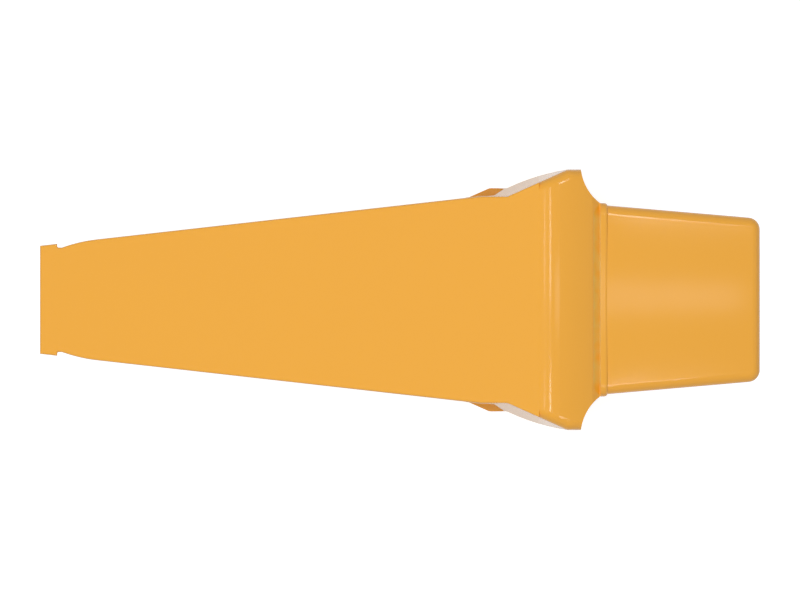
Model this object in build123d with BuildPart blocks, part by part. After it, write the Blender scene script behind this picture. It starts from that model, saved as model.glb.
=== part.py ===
from build123d import *
import os
from math import acos, atan, atan2, cos, degrees, hypot, radians, sin, tan

# Weld-on adapter for a bucket tooth: one steel casting with two straps that straddle
# the bucket's lip, a flared collar that backs the tooth, and a wedge nose that carries it.
# Frame: the origin is the centre of the pin bore, +X runs along the nose to its tip,
# +Y is the pin axis and +Z is up, away from the lower strap. Sizes are millimetres.

# Lengths along X, from the nose's tip to the straps' ends
tip_reach = 39.85
root_reach = 36.4
land_length = 3.6
scoop_length = 9.8
wing_length = 7.2
flare_length = 29.6
neck_length = 13.0
upper_strap_length = 220.4
ear_length = 8.8
ear_taper_length = 27.0
lower_strap_length = 98.0
foot_setback = 2.8
crest_setback = 26.4
plateau_setback = 4.4
throat_top_setback = 6.8
throat_bottom_setback = 0.8

# Widths across Y
tail_width = 54.4
neck_width = 104.0
collar_width = 130.6
ear_width = 112.0
lower_waist_width = 88.0
lower_end_width = 72.0
nose_base_width = 94.3
nose_tip_width = 81.4
land_step = 1.2

# Heights and thicknesses along Z
lip_gap = 41.0
upper_end_thickness = 18.0
upper_crest_thickness = 31.0
lower_thickness = 31.5
nose_base_height = 76.6
nose_tip_height = 34.0
nose_crown = 1.2
land_rise = 0.3
foot_drop = 0.8
groove_depth = 2.7
groove_floor_width = 0.6
groove_cut_height = 8.0

# Tail notches, one in each side of the upper strap
tail_length = 8.45
notch_depth = 2.15
notch_floor = 2.3
notch_blend_radius = 75.0

# Weld preparation along the inner edges of the straps
weld_bevel = 9.0
weld_bevel_stop = 14.0

# Radii of the casting
crest_radius = 26.0
ramp_radius = 78.0
foot_radius = 3.0
groove_radius = 0.5
wing_corner_radius = 5.0
neck_corner_radius = 3.0
ear_corner_radius = 4.0
waist_radius = 20.0
notch_corner_radius = 0.8
collar_edge_radius = 4.5
strap_edge_radius = 0.8
throat_radius = 5.0
land_corner_radius = 6.0
land_edge_radius = 1.8
nose_edge_radius = 5.0
nose_corner_radius = 6.0

# Retention: a pin through the nose and a recess for its retainer on the -Y side
pin_bore_diameter = 24.5
retainer_recess_diameter = 40.0
retainer_recess_depth = 12.0

# Draft of the side walls, away from the lip gap
wall_draft = 1.0

# Slope of the groove's rear side, from the horizontal
groove_angle = 46.0

# The scoop's angle to the centre line where it meets the wing, and the share of the lower
# flare's mean slope that is left where it meets the wing
scoop_end_angle = 83.1
flare_end_share = 0.535

# Room that forms and cutters are given past the faces that trim them
spare = 6.0

# How far behind the throat's corner radii the core form starts
throat_margin = 1.0

# How near a corner lies to the station that it is picked by
near = 0.01

# Stations along X
root_x = -root_reach
shoulder_x = root_x - land_length
wing_front_x = shoulder_x - scoop_length
wing_rear_x = wing_front_x - wing_length
neck_front_x = wing_rear_x - flare_length
neck_rear_x = neck_front_x - neck_length
upper_end_x = neck_rear_x - upper_strap_length
ear_rear_x = neck_front_x - ear_length
lower_waist_x = ear_rear_x - ear_taper_length
lower_end_x = lower_waist_x - lower_strap_length
foot_x = shoulder_x - foot_setback
crest_x = shoulder_x - crest_setback
plateau_x = crest_x - plateau_setback
throat_top_x = neck_front_x - throat_top_setback
throat_bottom_x = neck_front_x - throat_bottom_setback
throat_run = throat_radius + throat_margin

# Half widths and heights
half_gap = lip_gap / 2
half_collar = collar_width / 2
half_land = nose_base_width / 2 + land_step
crest_height = half_gap + upper_crest_thickness
sole_depth = half_gap + lower_thickness

# The upper strap's taper, and the arc that leads out of each tail notch and ends tangent to it
strap_angle = atan((neck_width - tail_width) / 2 / upper_strap_length)
notch_turn = acos(1 - notch_depth * cos(strap_angle) / notch_blend_radius)
tail_front_x = upper_end_x + tail_length
notch_run = notch_blend_radius * (sin(strap_angle + notch_turn) - sin(strap_angle))
notch_end_x = tail_front_x + notch_floor + notch_run


def strap_half_width(x):
    """Half the upper strap's width at x, on its straight taper."""
    return tail_width / 2 + tan(strap_angle) * (x - upper_end_x)


def nose_size(x, base, tip):
    """A width or height of the nose at x, from its sizes at the base and the tip."""
    return base + (tip - base) * (x - root_x) / (tip_reach - root_x)


def land_half_height(x):
    """Half the land's height at x, which follows the nose's taper."""
    return nose_size(x, nose_base_height, nose_tip_height) / 2 + land_rise


def arc_radius(run, rise, end_angle):
    """Radius of an arc over a run and a rise, from its angle to the run where it ends."""
    return hypot(run, rise) / 2 / sin(abs(end_angle - atan2(rise, run)))


def collar_front():
    """The scoop and the wing of the collar, from the shoulder to the wing's rear corner."""
    scoop_radius = arc_radius(scoop_length, half_collar - half_land, radians(scoop_end_angle))
    RadiusArc((shoulder_x, half_land), (wing_front_x, half_collar), scoop_radius)
    Line((wing_front_x, half_collar), (wing_rear_x, half_collar))


def upper_flare():
    """The upper form's side, from the wing's rear corner to the neck."""
    Line((wing_rear_x, half_collar), (neck_front_x, neck_width / 2))


def lower_flare():
    """The lower form's side, a bulged arc from the wing's rear corner to the ear."""
    rise = half_collar - ear_width / 2
    flare_radius = arc_radius(flare_length, rise, flare_end_share * atan2(rise, flare_length))
    RadiusArc((wing_rear_x, half_collar), (neck_front_x, ear_width / 2), -flare_radius)


def close_half_outline(rear_x, rear_half_width):
    """Close the half outline along the rear end, the centre line and the shoulder."""
    Polyline((rear_x, rear_half_width), (rear_x, 0), (shoulder_x, 0), (shoulder_x, half_land))


def close_outline(rear_x, rear_half_width):
    """Mirror the half outline and close it across the shoulder and the rear end."""
    mirror(about=Plane.XZ)
    Line((rear_x, rear_half_width), (rear_x, -rear_half_width))
    Line((shoulder_x, -half_land), (shoulder_x, half_land))


def round_corners(outline, x, radius, half_width=half_collar):
    """Round the outline's corners at station x that lie within a half width of the centre line."""
    fillet([v for v in outline.vertices() if abs(v.X - x) < near and abs(v.Y) < half_width + near], radius)


# Upper form: the outline of the upper strap and the collar. Each half is drawn at the gap and
# runs upwards at the draft's slant, so that its side walls lean in.
draft_slant = (0, -tan(radians(wall_draft)), 1)
with BuildPart() as upper_form:
    with BuildSketch(Plane.XY.offset(half_gap)) as upper_outline:
        with BuildLine():
            collar_front()
            upper_flare()
            Polyline(
                (neck_front_x, neck_width / 2),
                (neck_rear_x, neck_width / 2),
                (notch_end_x, strap_half_width(notch_end_x)),
            )
            notch_arc = JernArc(
                (notch_end_x, strap_half_width(notch_end_x)),
                (-cos(strap_angle), -sin(strap_angle)),
                notch_blend_radius,
                degrees(notch_turn),
            )
            notch_half_width = (notch_arc @ 1).Y
            Polyline(
                notch_arc @ 1,
                (tail_front_x, notch_half_width),
                (tail_front_x, strap_half_width(tail_front_x)),
                (upper_end_x, tail_width / 2),
            )
            close_half_outline(upper_end_x, tail_width / 2)
        make_face()
        round_corners(upper_outline, wing_rear_x, wing_corner_radius)
        round_corners(upper_outline, neck_front_x, neck_corner_radius)
        round_corners(upper_outline, notch_end_x - notch_run, notch_corner_radius)
        round_corners(upper_outline, tail_front_x, notch_corner_radius, notch_half_width)
    extrude(amount=upper_crest_thickness + spare, dir=draft_slant)
    mirror(about=Plane.XZ)

# Lower form: the outline of the lower strap, its ears and the collar. It is made as the upper
# one is, upwards from the gap's upper face, and then mirrored to hang below the lower one.
with BuildPart() as lower_form:
    with BuildSketch(Plane.XY.offset(half_gap)) as lower_outline:
        with BuildLine():
            collar_front()
            lower_flare()
            Polyline(
                (neck_front_x, ear_width / 2),
                (ear_rear_x, ear_width / 2),
                (lower_waist_x, lower_waist_width / 2),
                (lower_end_x, lower_end_width / 2),
            )
            close_half_outline(lower_end_x, lower_end_width / 2)
        make_face()
        round_corners(lower_outline, wing_rear_x, wing_corner_radius)
        round_corners(lower_outline, neck_front_x, neck_corner_radius)
        round_corners(lower_outline, ear_rear_x, ear_corner_radius)
        round_corners(lower_outline, lower_waist_x, waist_radius)
    extrude(amount=lower_thickness + spare, dir=draft_slant)
    mirror(about=Plane.XZ)
    mirror(about=Plane.XY, mode=Mode.REPLACE)

# Core form: the collar between the straps, whose sides lean out from the neck to the ears.
# It starts behind the throat by the run of the throat's corner radii.
with BuildPart() as core_form:
    with BuildSketch(Plane.XY.offset(half_gap)) as core_top:
        with BuildLine():
            collar_front()
            upper_flare()
            Line((neck_front_x, neck_width / 2), (throat_top_x - throat_run, neck_width / 2))
            close_outline(throat_top_x - throat_run, neck_width / 2)
        make_face()
        round_corners(core_top, wing_rear_x, wing_corner_radius)
        round_corners(core_top, neck_front_x, neck_corner_radius)
    with BuildSketch(Plane.XY.offset(-half_gap)) as core_bottom:
        with BuildLine():
            collar_front()
            lower_flare()
            Line((neck_front_x, ear_width / 2), (throat_bottom_x - throat_run, ear_width / 2))
            close_outline(throat_bottom_x - throat_run, ear_width / 2)
        make_face()
        round_corners(core_bottom, wing_rear_x, wing_corner_radius)
        round_corners(core_bottom, neck_front_x, neck_corner_radius)
    loft(ruled=True)

# Lip slot: the space of the bucket's lip, with a slanted throat and rounded corners
with BuildPart() as lip_slot:
    with BuildSketch(Plane.XZ) as slot_profile:
        with BuildLine():
            Polyline(
                (throat_top_x, half_gap),
                (upper_end_x - spare, half_gap),
                (upper_end_x - spare, -half_gap),
                (throat_bottom_x, -half_gap),
                close=True,
            )
        make_face()
        fillet([v for v in slot_profile.vertices() if v.X > throat_top_x - near], throat_radius)
    extrude(amount=half_collar + spare, both=True)

# Side envelope: the body's height, seen from the side
foot_height = land_half_height(foot_x) - foot_drop
with BuildPart() as side_envelope:
    with BuildSketch(Plane.XZ) as side_profile:
        with BuildLine():
            top_slope = (upper_crest_thickness - upper_end_thickness) / (crest_x - upper_end_x)
            end_x = upper_end_x - spare
            end_height = half_gap + upper_end_thickness - top_slope * spare
            Polyline(
                (crest_x, crest_height),
                (end_x, end_height),
                (end_x, -sole_depth),
                (crest_x, -sole_depth),
            )
            RadiusArc((crest_x, -sole_depth), (foot_x, -foot_height), -ramp_radius)
            Polyline(
                (foot_x, -foot_height),
                (root_x, -foot_height),
                (root_x, foot_height),
                (foot_x, foot_height),
            )
            RadiusArc((foot_x, foot_height), (crest_x, crest_height), -ramp_radius)
        make_face()
        fillet([v for v in side_profile.vertices() if abs(v.X - crest_x) < near], crest_radius)
        fillet([v for v in side_profile.vertices() if abs(v.X - foot_x) < near], foot_radius)
    extrude(amount=half_collar + spare, both=True)

# Body: the three forms joined and trimmed to the side envelope
with BuildPart() as body:
    add(upper_form.part)
    add(lower_form.part)
    add(core_form.part)
    add(lip_slot.part, mode=Mode.SUBTRACT)
    add(side_envelope.part, mode=Mode.INTERSECT)

# Straps: the body behind the plateau, with small casting radii along its outer edges
with BuildPart() as straps:
    add(body.part)
    split(bisect_by=Plane.YZ.offset(plateau_x), keep=Keep.BOTTOM)
    outer_edges = [
        edge
        for edge in straps.edges()
        if all(abs(v.Z) > half_gap + near for v in edge.vertices())
        and any(abs(v.X - plateau_x) > near for v in edge.vertices())
    ]
    fillet(outer_edges, strap_edge_radius)

# Collar: the body ahead of the plateau, with its upper and lower side edges rounded
with BuildPart() as collar:
    add(body.part)
    split(bisect_by=Plane.YZ.offset(plateau_x), keep=Keep.TOP)
    for side in (1, -1):
        rims = [
            edge
            for edge in collar.edges()
            if all(
                side * v.Z > half_gap + near and abs(v.Y) > half_land and v.X < wing_front_x + near
                for v in edge.vertices()
            )
            and abs((edge @ 0).Y - (edge @ 1).Y) < half_land
        ]
        fillet(rims, collar_edge_radius)

# Grooves: the space behind the land, above and below, whose rear side is steeper than the ramp
groove_floor = land_half_height(shoulder_x) - groove_depth
groove_rear_x = shoulder_x - groove_floor_width
groove_top_x = groove_rear_x - groove_cut_height / tan(radians(groove_angle))
with BuildPart() as grooves:
    with BuildSketch(Plane.XZ) as groove_profile:
        with BuildLine():
            Polyline(
                (shoulder_x, groove_floor),
                (groove_rear_x, groove_floor),
                (groove_top_x, groove_floor + groove_cut_height),
                (shoulder_x, groove_floor + groove_cut_height),
                close=True,
            )
        make_face()
        fillet([v for v in groove_profile.vertices() if abs(v.X - groove_rear_x) < near], groove_radius)
    extrude(amount=half_collar + spare, both=True)
    mirror(about=Plane.XY)

# Land: the low step around the nose's root, which the tooth's rim stops against
with BuildPart() as land:
    for x in (shoulder_x, root_x):
        with BuildSketch(Plane.YZ.offset(x)):
            RectangleRounded(2 * half_land, 2 * land_half_height(x), land_corner_radius)
    loft(ruled=True)
    fillet(land.faces().sort_by(Axis.X)[-1].edges(), land_edge_radius)

# Nose: a wedge with crowned upper and lower faces, rounded along its edges and at its tip
with BuildPart() as nose:
    for x in (shoulder_x, tip_reach):
        half_width = nose_size(x, nose_base_width, nose_tip_width) / 2
        half_height = nose_size(x, nose_base_height, nose_tip_height) / 2
        edge_height = half_height - nose_crown
        with BuildSketch(Plane.YZ.offset(x)):
            with BuildLine():
                for up in (1, -1):
                    corner = (half_width, up * edge_height)
                    ThreePointArc(corner, (0, up * half_height), (-half_width, up * edge_height))
                    Line((up * half_width, -edge_height), (up * half_width, edge_height))
            make_face()
    loft(ruled=True)
    tip_corners = nose.faces().sort_by(Axis.X)[-1].edges().filter_by(Axis.Z)
    fillet(tip_corners, nose_corner_radius)
    rims = [
        edge
        for edge in nose.edges().filter_by(Axis.Z, reverse=True)
        if any(v.X > root_x for v in edge.vertices())
    ]
    fillet(rims, nose_edge_radius)


def bevel_section(height_sign):
    """Section of a bevel cutter: local X points out of the strap's edge and local Y upwards."""
    Polygon(
        (-weld_bevel - spare, -height_sign * spare),
        (spare, height_sign * (weld_bevel + spare)),
        (spare, -height_sign * spare),
        align=None,
    )


# Weld preparation: bevels along the inner side edges and the inner rear edge of each strap
lower_strap_angle = atan((lower_waist_width - lower_end_width) / 2 / lower_strap_length)
upper_bevel_length = (throat_top_x - weld_bevel_stop - upper_end_x) / cos(strap_angle)
lower_bevel_length = (lower_strap_length - weld_bevel_stop) / cos(lower_strap_angle)
with BuildPart() as weld_bevels:
    for height_sign, end_x, end_width, angle, length in (
        (1, upper_end_x, tail_width, strap_angle, upper_bevel_length),
        (-1, lower_end_x, lower_end_width, lower_strap_angle, lower_bevel_length),
    ):
        side_edge = Plane(
            origin=(end_x, end_width / 2, height_sign * half_gap),
            x_dir=(-sin(angle), cos(angle), 0),
            z_dir=(cos(angle), sin(angle), 0),
        )
        with BuildSketch(side_edge):
            bevel_section(height_sign)
        extrude(amount=length)
        rear_edge = Plane(origin=(end_x, 0, height_sign * half_gap), x_dir=(-1, 0, 0), z_dir=(0, 1, 0))
        with BuildSketch(rear_edge):
            bevel_section(height_sign)
        extrude(amount=end_width / 2 + spare, both=True)
    mirror(about=Plane.XZ)

# The recess's floor, at its depth from the nose's side face beside the bore
recess_floor = nose_size(0, nose_base_width, nose_tip_width) / 2 - retainer_recess_depth

# Adapter casting: the straps and collar with the land and nose, bored, recessed and bevelled
with BuildPart() as adapter_casting:
    add(straps.part)
    add(collar.part)
    add(grooves.part, mode=Mode.SUBTRACT)
    add(land.part)
    add(nose.part)
    with Locations(Plane.XZ):
        Hole(pin_bore_diameter / 2)
    with BuildSketch(Plane.XZ.offset(recess_floor)):
        Circle(retainer_recess_diameter / 2)
    extrude(amount=retainer_recess_depth + spare, mode=Mode.SUBTRACT)
    add(weld_bevels.part, mode=Mode.SUBTRACT)

os.makedirs("parts", exist_ok=True)
adapter_casting.part.label = "adapter_casting"
export_step(adapter_casting.part, "parts/adapter_casting.step")
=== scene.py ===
"""Look of a weld-on bucket tooth adapter: one steel casting in glossy orange-yellow enamel.

The casting's form comes from the fixed frame. This script paints it, and sets up a pale studio
floor, soft light and a long lens that looks straight down on the part.
The axes are the frame's own: +X along the nose, +Y along the pin, +Z up. A name that ends in _mm
holds millimetres, one that ends in _deg holds degrees, and other lengths are metres.
"""

import logging
import math
from collections.abc import Mapping
from dataclasses import dataclass
from enum import Enum

import bpy
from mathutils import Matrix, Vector


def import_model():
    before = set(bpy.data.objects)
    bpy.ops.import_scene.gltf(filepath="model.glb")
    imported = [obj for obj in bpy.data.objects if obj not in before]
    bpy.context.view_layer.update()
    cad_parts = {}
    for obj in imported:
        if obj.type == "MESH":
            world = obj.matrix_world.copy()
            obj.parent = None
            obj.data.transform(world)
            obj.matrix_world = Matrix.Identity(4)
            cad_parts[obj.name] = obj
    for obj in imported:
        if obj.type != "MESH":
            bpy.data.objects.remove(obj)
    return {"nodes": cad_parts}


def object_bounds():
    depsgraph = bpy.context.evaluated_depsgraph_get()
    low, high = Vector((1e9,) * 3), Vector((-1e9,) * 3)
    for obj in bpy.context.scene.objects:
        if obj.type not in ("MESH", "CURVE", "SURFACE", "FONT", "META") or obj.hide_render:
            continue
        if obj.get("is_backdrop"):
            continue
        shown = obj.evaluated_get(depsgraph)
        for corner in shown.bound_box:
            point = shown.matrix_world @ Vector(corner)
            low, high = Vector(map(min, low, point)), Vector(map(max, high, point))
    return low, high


LOG = logging.getLogger("adapter_scene")

MM = 0.001
SHOWING_RAYS = ("Is Camera Ray", "Is Glossy Ray", "Is Transmission Ray")


def linear_from_hex(code: str) -> tuple[float, float, float, float]:
    """Turn an sRGB hex colour into linear light.

    Args:
        code: Six hex digits, such as "f2ae49".

    Returns:
        Red, green, blue and an alpha of 1, in linear light.
    """
    shares = [int(code[start:start + 2], 16) / 255 for start in (0, 2, 4)]
    # The sRGB standard's own curve, with its short straight foot.
    red, green, blue = (s / 12.92 if s <= 0.04045 else ((s + 0.055) / 1.055) ** 2.4 for s in shares)
    return (red, green, blue, 1.0)


def pattern_scale(feature_mm: float) -> float:
    """Work out a noise pattern's scale on Object coordinates.

    Args:
        feature_mm: The real size of one of its features.

    Returns:
        The value for the pattern's Scale.
    """
    return 1 / (feature_mm * MM)


def add_node(
    tree: bpy.types.NodeTree,
    kind: str,
    inputs: Mapping[str | int, object] | None = None,
    **settings: object,
) -> bpy.types.Node:
    """Add a node to a tree, with its settings and links.

    Args:
        tree: The node tree.
        kind: The node's type name.
        inputs: For each input socket's name or number, a value or the output socket to link.
        **settings: Attributes of the node, such as its operation.

    Returns:
        The new node.
    """
    node = tree.nodes.new(kind)
    for name, value in settings.items():
        setattr(node, name, value)
    for key, value in (inputs or {}).items():
        if isinstance(value, bpy.types.NodeSocket):
            tree.links.new(value, node.inputs[key])
        else:
            node.inputs[key].default_value = value
    return node


def empty_tree(owner: bpy.types.Material | bpy.types.World) -> bpy.types.NodeTree:
    """Switch nodes on and clear them.

    Args:
        owner: A material or a world.

    Returns:
        Its empty node tree.
    """
    owner.use_nodes = True
    owner.node_tree.nodes.clear()
    return owner.node_tree


def ray_share(tree: bpy.types.NodeTree, *kinds: str) -> bpy.types.NodeSocket:
    """Tell some kinds of ray from the others.

    Args:
        tree: The tree of the floor's material or of the world.
        *kinds: Names of the Light Path node's outputs.

    Returns:
        1 for rays of these kinds, and 0 for all others.
    """
    path = add_node(tree, "ShaderNodeLightPath")
    share = path.outputs[kinds[0]]
    for kind in kinds[1:]:
        share = add_node(tree, "ShaderNodeMath", {
            0: share, 1: path.outputs[kind],
        }, operation="MAXIMUM").outputs["Value"]
    return share


class LampRole(Enum):
    """What a lamp lights: the paint's colour, or only the gloss on it."""

    COLOUR = "colour"
    GLOSS = "gloss"


@dataclass(frozen=True)
class ReliefLayer:
    """One layer of unevenness under or in the paint: how wide its features are, and how high."""

    feature_mm: float
    height_mm: float
    detail: float = 1.0


@dataclass(frozen=True)
class GrooveReflectionTint:
    """Painted reflection: a pale, patchy tint painted into the groove between the collar's ramp and the
    land.

    It is thin and patchy. It fills the groove from back_mm to front_mm, fades out within end_mm of the
    groove's ends, and lies only where the groove crosses the upper and the lower face, which is
    further than height_mm from the middle plane.
    """

    # Pale tone of the reflection painted into the groove.
    colour: str = "e0d278"
    cover: float = 0.4
    thin_share: float = 0.5
    thick_share: float = 1.4
    patch_mm: float = 7.0
    patch_detail: float = 3.0
    patch_low: float = 0.3
    patch_high: float = 0.7
    back_mm: float = -43.9
    front_mm: float = -39.6
    edge_mm: float = 0.6
    height_mm: float = 30.0
    half_width_mm: float = 47.5
    end_mm: float = 9.0

    def mask(self, tree: bpy.types.NodeTree, place: bpy.types.NodeSocket) -> bpy.types.NodeSocket:
        """Tell where the painted reflection lies.

        Args:
            tree: The material's tree.
            place: Object coordinates.

        Returns:
            How much of the paint the painted reflection covers.
        """
        patches = add_node(tree, "ShaderNodeTexNoise", {
            "Vector": place, "Scale": pattern_scale(self.patch_mm), "Detail": self.patch_detail,
        })
        share = add_node(tree, "ShaderNodeMapRange", {
            "Value": patches.outputs["Fac"],
            "From Min": self.patch_low,
            "From Max": self.patch_high,
            "To Min": self.thin_share * self.cover,
            "To Max": self.thick_share * self.cover,
        }).outputs["Result"]
        axes = add_node(tree, "ShaderNodeSeparateXYZ", {"Vector": place})
        height = add_node(tree, "ShaderNodeMath", {0: axes.outputs["Z"]}, operation="ABSOLUTE")
        side = add_node(tree, "ShaderNodeMath", {0: axes.outputs["Y"]}, operation="ABSOLUTE")
        # Each limit is a measure, where it ends the painted reflection, and where the painted reflection is
        # whole again.
        limits = (
            (axes.outputs["X"], self.back_mm, self.back_mm + self.edge_mm),
            (axes.outputs["X"], self.front_mm, self.front_mm - self.edge_mm),
            (height.outputs["Value"], self.height_mm, self.height_mm + self.edge_mm),
            (side.outputs["Value"], self.half_width_mm, self.half_width_mm - self.end_mm),
        )
        for measure, bare_mm, whole_mm in limits:
            step = add_node(tree, "ShaderNodeMapRange", {
                "Value": measure, "From Min": bare_mm * MM, "From Max": whole_mm * MM,
            }, interpolation_type="SMOOTHSTEP")
            share = add_node(tree, "ShaderNodeMath", {
                0: step.outputs["Result"], 1: share,
            }, operation="MULTIPLY").outputs["Value"]
        return share


@dataclass(frozen=True)
class Enamel:
    """Orange-yellow machine enamel, sprayed over cast steel: it gives saturated colour under a clear gloss.

    The gloss shows thin bright lines along the rounded forms, which the mould's slow waves break up.
    The coat is a little uneven in tone and gloss. A face counts as a wall where the upright share of
    its normal is under wall_rise. Those of the nose and the collar are about as glossy as the upper
    face, and those of the straps are dull.
    """

    name: str = "orange_machine_enamel"
    colour: str = "f2aa2b"
    thin_colour: str = "f0a829"
    ior: float = 1.5
    roughness: float = 0.12
    roughness_spread: float = 0.04
    wall_roughness: float = 0.10
    strap_wall_roughness: float = 0.45
    strap_end_mm: float = -100.0
    collar_start_mm: float = -90.0
    wall_rise: float = 0.4
    cloud_mm: float = 60.0
    cloud_detail: float = 3.0
    # Pale tint painted into the groove between the ramp and the land: a painted reflection.
    groove_reflection: GrooveReflectionTint = GrooveReflectionTint()
    relief_layers: tuple[ReliefLayer, ...] = (
        # Slow waves of the mould's wall.
        ReliefLayer(feature_mm=24.0, height_mm=0.02),
        # Moulding sand. Its grain is finer than a pixel of the render, so it is drawn coarser.
        ReliefLayer(feature_mm=3.2, height_mm=0.0015),
        # Orange peel of the sprayed coat.
        ReliefLayer(feature_mm=1.4, height_mm=0.0004),
    )

    def build(self) -> bpy.types.Material:
        """Make the material.

        Returns:
            The enamel as a node material on Object coordinates.
        """
        material = bpy.data.materials.new(self.name)
        tree = empty_tree(material)
        coordinates = add_node(tree, "ShaderNodeTexCoord")
        place = coordinates.outputs["Object"]
        clouds = add_node(tree, "ShaderNodeTexNoise", {
            "Vector": place, "Scale": pattern_scale(self.cloud_mm), "Detail": self.cloud_detail,
        }).outputs["Fac"]
        shader = add_node(tree, "ShaderNodeBsdfPrincipled", {
            "Base Color": self.coat(tree, place, clouds),
            "Roughness": self.gloss(tree, place, coordinates.outputs["Normal"], clouds),
            "IOR": self.ior,
            "Normal": self.relief(tree, place),
        })
        add_node(tree, "ShaderNodeOutputMaterial", {"Surface": shader.outputs["BSDF"]})
        return material

    def coat(
        self, tree: bpy.types.NodeTree, place: bpy.types.NodeSocket, clouds: bpy.types.NodeSocket,
    ) -> bpy.types.NodeSocket:
        """Mix the colour of the paint, with the pale reflection painted into the groove.

        Args:
            tree: The material's tree.
            place: Object coordinates.
            clouds: Slow noise.

        Returns:
            The base colour.
        """
        paint = add_node(tree, "ShaderNodeMix", {
            "Factor": clouds,
            "A": linear_from_hex(self.colour),
            "B": linear_from_hex(self.thin_colour),
        }, data_type="RGBA")
        # Mix in the pale reflection painted into the groove.
        with_groove_reflection = add_node(tree, "ShaderNodeMix", {
            "Factor": self.groove_reflection.mask(tree, place),
            "A": paint.outputs["Result"],
            "B": linear_from_hex(self.groove_reflection.colour),
        }, data_type="RGBA")
        return with_groove_reflection.outputs["Result"]

    def gloss(
        self,
        tree: bpy.types.NodeTree,
        place: bpy.types.NodeSocket,
        facing: bpy.types.NodeSocket,
        clouds: bpy.types.NodeSocket,
    ) -> bpy.types.NodeSocket:
        """Work out the roughness, which differs between level faces, collar walls and strap walls.

        Args:
            tree: The material's tree.
            place: Object coordinates.
            facing: The surface's own normal.
            clouds: Slow noise.

        Returns:
            The roughness.
        """
        level_face = add_node(tree, "ShaderNodeMapRange", {
            "Value": clouds,
            "To Min": self.roughness - self.roughness_spread / 2,
            "To Max": self.roughness + self.roughness_spread / 2,
        })
        along = add_node(tree, "ShaderNodeSeparateXYZ", {"Vector": place})
        wall = add_node(tree, "ShaderNodeMapRange", {
            "Value": along.outputs["X"],
            "From Min": self.strap_end_mm * MM,
            "From Max": self.collar_start_mm * MM,
            "To Min": self.strap_wall_roughness,
            "To Max": self.wall_roughness,
        })
        facing_axes = add_node(tree, "ShaderNodeSeparateXYZ", {"Vector": facing})
        rise = add_node(tree, "ShaderNodeMath", {0: facing_axes.outputs["Z"]}, operation="ABSOLUTE")
        roughness = add_node(tree, "ShaderNodeMapRange", {
            "Value": rise.outputs["Value"],
            "From Max": self.wall_rise,
            "To Min": wall.outputs["Result"],
            "To Max": level_face.outputs["Result"],
        }, interpolation_type="SMOOTHSTEP")
        return roughness.outputs["Result"]

    def relief(self, tree: bpy.types.NodeTree, place: bpy.types.NodeSocket) -> bpy.types.NodeSocket:
        """Stack the layers of relief as bumps.

        Args:
            tree: The material's tree.
            place: Object coordinates.

        Returns:
            The bumped normal.
        """
        below: dict[str, bpy.types.NodeSocket] = {}
        for layer in self.relief_layers:
            noise = add_node(tree, "ShaderNodeTexNoise", {
                "Vector": place, "Scale": pattern_scale(layer.feature_mm), "Detail": layer.detail,
            })
            bump = add_node(tree, "ShaderNodeBump", {
                "Height": noise.outputs["Fac"], "Strength": 1.0, "Distance": layer.height_mm * MM, **below,
            })
            below = {"Normal": bump.outputs["Normal"]}
        return below["Normal"]


@dataclass
class Casting:
    """The adapter's single casting, whose form is the frame's own."""

    node: bpy.types.Object

    def dress(self, finish: Enamel) -> bpy.types.Object:
        """Paint the casting.

        Args:
            finish: The paint.

        Returns:
            The dressed node.
        """
        self.node.data.materials.clear()
        self.node.data.materials.append(finish.build())
        return self.node


@dataclass
class Floor:
    """The pale studio floor, which shows white and keeps a soft shadow.

    It lies a little under the part, so that the sole and the floor don't share a plane. It lights
    the part as a pale floor does. What the lens and the gloss see of it is darker paint with a glow,
    which is white in the open and a little darker in the shadow beside the part. The lens sees more
    of the glow, so that the shadow stays faint.
    """

    part_bottom: float
    gap_mm: float = 0.1
    half_side: float = 6.0
    colour: str = "d0d0d0"
    shown_colour: str = "b4b4b4"
    glow: float = 0.55
    lens_glow: float = 0.28

    def build(self) -> bpy.types.Object:
        """Make the floor.

        Returns:
            The floor's object.
        """
        bpy.ops.object.select_all(action="DESELECT")
        height = self.part_bottom - self.gap_mm * MM
        bpy.ops.mesh.primitive_plane_add(size=2 * self.half_side, location=(0, 0, height))
        floor = bpy.context.active_object
        floor.name = "studio_floor"
        floor.data.materials.append(self.paint())
        floor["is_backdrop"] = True
        return floor

    def paint(self) -> bpy.types.Material:
        """Make the floor's matt paint, which glows for the lens and the gloss.

        Returns:
            The floor's material.
        """
        material = bpy.data.materials.new("white_studio_floor")
        tree = empty_tree(material)
        shown = ray_share(tree, *SHOWING_RAYS)
        colour = add_node(tree, "ShaderNodeMix", {
            "Factor": shown, "A": linear_from_hex(self.colour), "B": linear_from_hex(self.shown_colour),
        }, data_type="RGBA")
        matt = add_node(tree, "ShaderNodeBsdfDiffuse", {"Color": colour.outputs["Result"]})
        base_glow = add_node(tree, "ShaderNodeMath", {0: shown, 1: self.glow}, operation="MULTIPLY")
        full_glow = add_node(tree, "ShaderNodeMath", {
            0: ray_share(tree, "Is Camera Ray"), 1: self.lens_glow, 2: base_glow.outputs["Value"],
        }, operation="MULTIPLY_ADD")
        glow = add_node(tree, "ShaderNodeEmission", {"Strength": full_glow.outputs["Value"]})
        both = add_node(tree, "ShaderNodeAddShader", {0: matt.outputs["BSDF"], 1: glow.outputs["Emission"]})
        add_node(tree, "ShaderNodeOutputMaterial", {"Surface": both.outputs["Shader"]})
        return material


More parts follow.
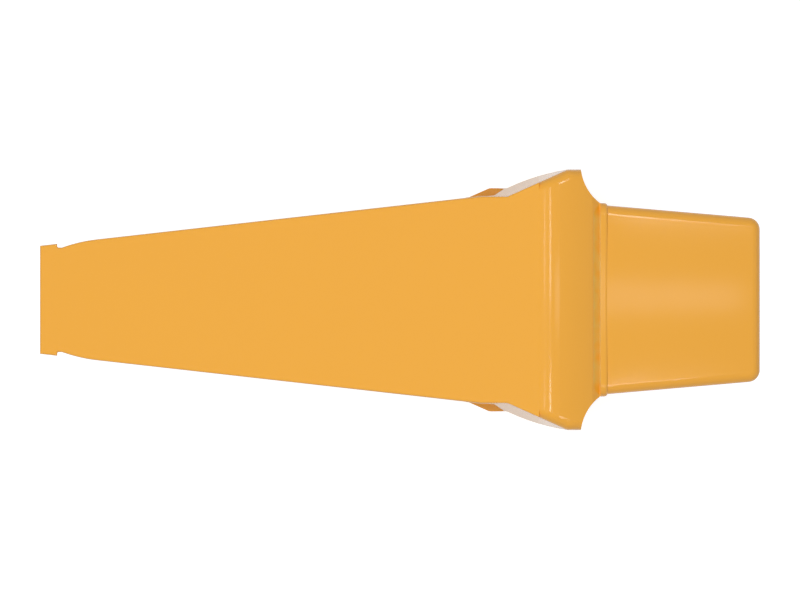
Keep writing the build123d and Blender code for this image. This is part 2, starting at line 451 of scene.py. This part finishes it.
@dataclass(frozen=True)
class SoftBox:
    """A rectangular lamp above a point on the part, which the lens doesn't see.

    It leans from straight up towards +X and looks back at the point, and is then shifted along Y
    without a turn. Its width lies across the lean, and its length along Y. Its power follows from
    its radiance and size, so that a larger lamp looks as bright.
    """

    name: str
    target_mm: tuple[float, float, float]
    lean_deg: float
    shift_mm: float
    width_mm: float
    length_mm: float
    radiance: float
    distance_mm: float = 400.0
    role: LampRole = LampRole.GLOSS

    def build(self) -> bpy.types.Object:
        """Place the lamp.

        Returns:
            The lamp's object.
        """
        lean = math.radians(self.lean_deg)
        lamp = bpy.data.lights.new(self.name, "AREA")
        lamp.shape = "RECTANGLE"
        lamp.size = self.width_mm * MM
        lamp.size_y = self.length_mm * MM
        lamp.energy = self.radiance * math.pi * self.width_mm * self.length_mm * MM ** 2
        box = bpy.data.objects.new(self.name, lamp)
        box.location = Vector(self.target_mm) * MM + Vector((
            self.distance_mm * MM * math.sin(lean),
            self.shift_mm * MM,
            self.distance_mm * MM * math.cos(lean),
        ))
        box.rotation_euler = (0, lean, 0)
        box.visible_camera = False
        box.visible_glossy = self.role is LampRole.GLOSS
        box.visible_diffuse = self.role is LampRole.COLOUR
        bpy.context.scene.collection.objects.link(box)
        return box


@dataclass(frozen=True)
class Studio:
    """Even soft light from all round, which shows as a white room, and the lamps that hang in it.

    The key lights the colour from above. The strips show in the gloss alone: they draw the faint and
    the bright line along the collar's crest, the soft streak on the nose's upper face, and the lines
    along that face's edges. A line is drawn in stretches. On the crest, a is the one at +Y and b that
    at -Y. On the nose, a and b are at +Y, and c and d at -Y.
    """

    strength: float = 0.33
    shown_strength: float = 1.0
    colour: str = "ffffff"
    crest_mm: tuple[float, float, float] = (-65.0, 0.0, 51.5)
    nose_top_mm: tuple[float, float, float] = (0.0, 0.0, 36.0)
    key_side_mm: float = 1600.0

    def light_world(self) -> None:
        """Give the world its soft light, and white where the lens and the gloss see it."""
        world = bpy.data.worlds.new("soft_studio")
        bpy.context.scene.world = world
        tree = empty_tree(world)
        strength = add_node(tree, "ShaderNodeMix", {
            "Factor": ray_share(tree, *SHOWING_RAYS), "A": self.strength, "B": self.shown_strength,
        }, data_type="FLOAT")
        sky = add_node(tree, "ShaderNodeBackground", {
            "Color": linear_from_hex(self.colour), "Strength": strength.outputs["Result"],
        })
        add_node(tree, "ShaderNodeOutputWorld", {"Surface": sky.outputs["Background"]})

    def lamps(self) -> tuple[SoftBox, ...]:
        """List the key and the strips.

        Returns:
            The lamps, from the key to the nose.
        """
        faint = {"target_mm": self.crest_mm, "lean_deg": 10.7, "width_mm": 12.0}
        bright = {"target_mm": self.crest_mm, "lean_deg": 23.3, "width_mm": 16.0}
        edge = {"lean_deg": 33.0, "length_mm": 120.0}
        return (
            SoftBox(
                "overhead_key", target_mm=self.crest_mm, lean_deg=-5.0, shift_mm=0.0, radiance=2.72,
                width_mm=self.key_side_mm, length_mm=self.key_side_mm, distance_mm=self.key_side_mm,
                role=LampRole.COLOUR,
            ),
            SoftBox("crest_strip_near_a", shift_mm=28.0, length_mm=56.0, radiance=4.2, **faint),
            SoftBox("crest_strip_middle_a", shift_mm=28.0, length_mm=56.0, radiance=8.0, **bright),
            SoftBox("crest_strip_near_b", shift_mm=-52.0, length_mm=24.0, radiance=4.2, **faint),
            SoftBox("crest_strip_middle_b", shift_mm=-52.0, length_mm=26.0, radiance=14.0, **bright),
            SoftBox(
                "nose_top_strip", target_mm=self.nose_top_mm, lean_deg=31.2, shift_mm=3.0, radiance=1.6,
                width_mm=80.0, length_mm=30.0,
            ),
            SoftBox(
                "nose_edge_strip_a", target_mm=(-14.8, 40.0, 31.5), shift_mm=100.0, radiance=9.0,
                width_mm=34.0, **edge,
            ),
            SoftBox(
                "nose_edge_strip_b", target_mm=(21.2, 37.0, 21.3), shift_mm=100.0, radiance=9.0,
                width_mm=8.0, **edge,
            ),
            SoftBox(
                "nose_edge_strip_c", target_mm=(-30.0, -41.0, 35.5), shift_mm=-100.0, radiance=22.0,
                width_mm=10.0, **edge,
            ),
            SoftBox(
                "nose_edge_strip_d", target_mm=(-1.0, -39.0, 27.0), shift_mm=-100.0, radiance=5.0,
                width_mm=18.0, **edge,
            ),
        )


@dataclass(frozen=True)
class LongLens:
    """A camera far above the part, so that the view is nearly parallel.

    The middle of the picture is given as a point of the frame. A pixel is pixel_mm wide at that
    point's height. What lies beyond clip_factor times the distance isn't shown.
    """

    pixel_mm: float = 0.5
    picture_width_px: int = 800
    middle_mm: tuple[float, float, float] = (-140.2, -0.1, 25.0)
    distance: float = 13.5
    sensor_mm: float = 36.0
    clip_factor: float = 10.0

    def build(self) -> bpy.types.Object:
        """Make the camera and give it to the scene.

        Returns:
            The camera's object.
        """
        data = bpy.data.cameras.new("long_lens")
        data.sensor_width = self.sensor_mm
        data.lens = self.sensor_mm * self.distance / (self.pixel_mm * MM * self.picture_width_px)
        data.clip_end = self.clip_factor * self.distance
        camera = bpy.data.objects.new("long_lens", data)
        camera.location = Vector(self.middle_mm) * MM + Vector((0, 0, self.distance))
        bpy.context.scene.collection.objects.link(camera)
        bpy.context.scene.camera = camera
        return camera


def main() -> None:
    """Load the frame, paint the casting, light it and aim the lens at it."""
    logging.basicConfig(level=logging.INFO, format="%(name)s: %(message)s")
    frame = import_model()
    cad_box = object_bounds()
    bpy.context.scene.view_settings.view_transform = "Standard"

    casting = Casting(frame["nodes"]["adapter_casting"]).dress(Enamel())
    LOG.info("painted %s", casting.name)

    floor = Floor(part_bottom=cad_box[0].z).build()
    LOG.info("laid %s", floor.name)

    studio = Studio()
    studio.light_world()
    for lamp in studio.lamps():
        LOG.info("hung %s", lamp.build().name)

    camera = LongLens().build()
    LOG.info("aimed %s", camera.name)


if __name__ == "__main__":
    main()
